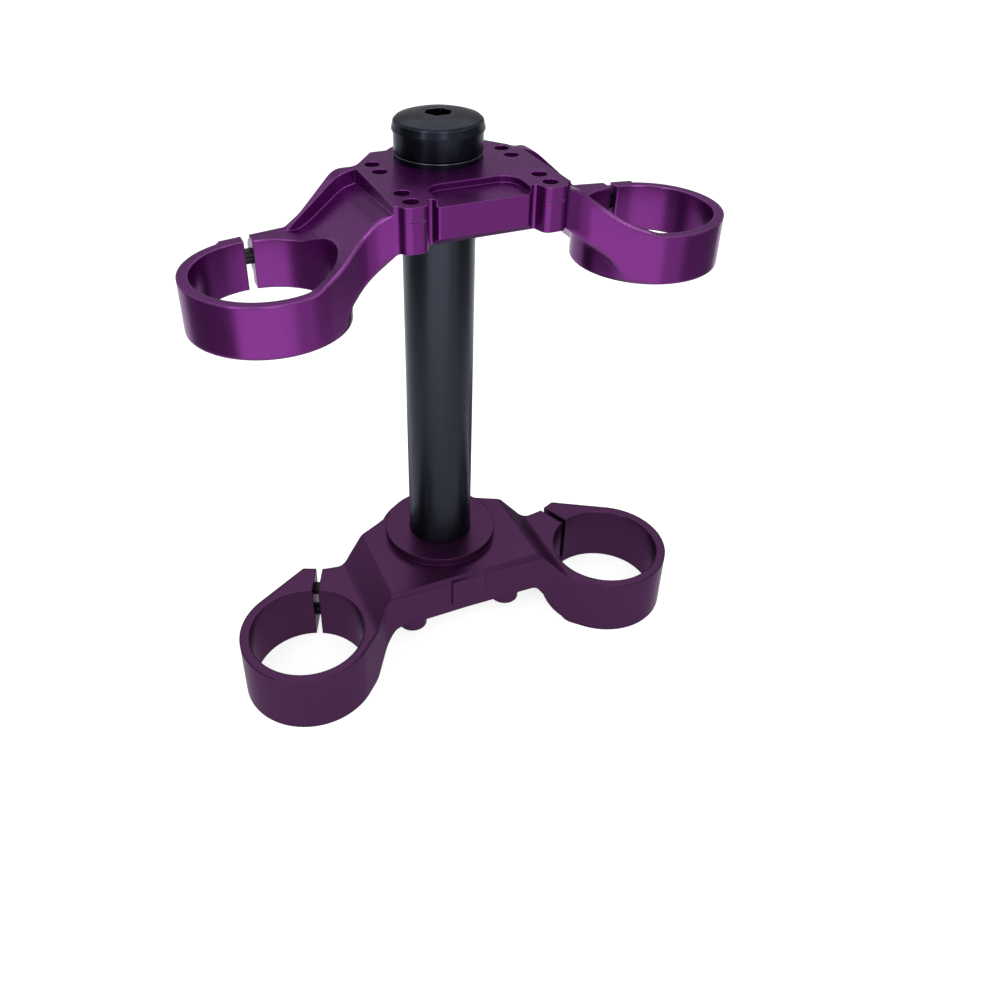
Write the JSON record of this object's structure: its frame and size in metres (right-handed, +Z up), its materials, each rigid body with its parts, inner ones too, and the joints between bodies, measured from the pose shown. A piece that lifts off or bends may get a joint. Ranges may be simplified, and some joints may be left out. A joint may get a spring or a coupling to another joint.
{
  "type": "motorcycle triple clamp",
  "caption": "Motorcycle triple clamp: purple anodised upper and lower clamps with split rings for the fork legs, joined by a black steering stem under a hexagon-socket cap.",
  "frame": {"origin": "on the steering stem's axis, level with the undersides of the lower rings, on which it stands", "axes": "+Z up along the stem, -Y forwards to the fork legs, +X to the right as seen from the front"},
  "size_m": [0.217, 0.0915, 0.2466],
  "materials": {
    "upper_anodised": "satin, bright purple anodised",
    "lower_anodised": "satin, darker purple anodised",
    "stem_black": "satin black",
    "cap_black": "satin black anodised",
    "bolt_black": "black oxide"
  },
  "bodies": {
    "root": {"upper_clamp": "upper_anodised", "lower_clamp": "lower_anodised", "steering_stem": "stem_black", "stem_washer": "cap_black", "stem_collar": "cap_black", "stem_cap_bolt": "cap_black", "upper_pinch_bolt_left": "bolt_black", "upper_pinch_bolt_right": "bolt_black", "lower_pinch_bolt_left_top": "bolt_black", "lower_pinch_bolt_left_bottom": "bolt_black", "lower_pinch_bolt_right_top": "bolt_black", "lower_pinch_bolt_right_bottom": "bolt_black", "stem_snap_ring": "bolt_black"}
  },
  "joints": []
}
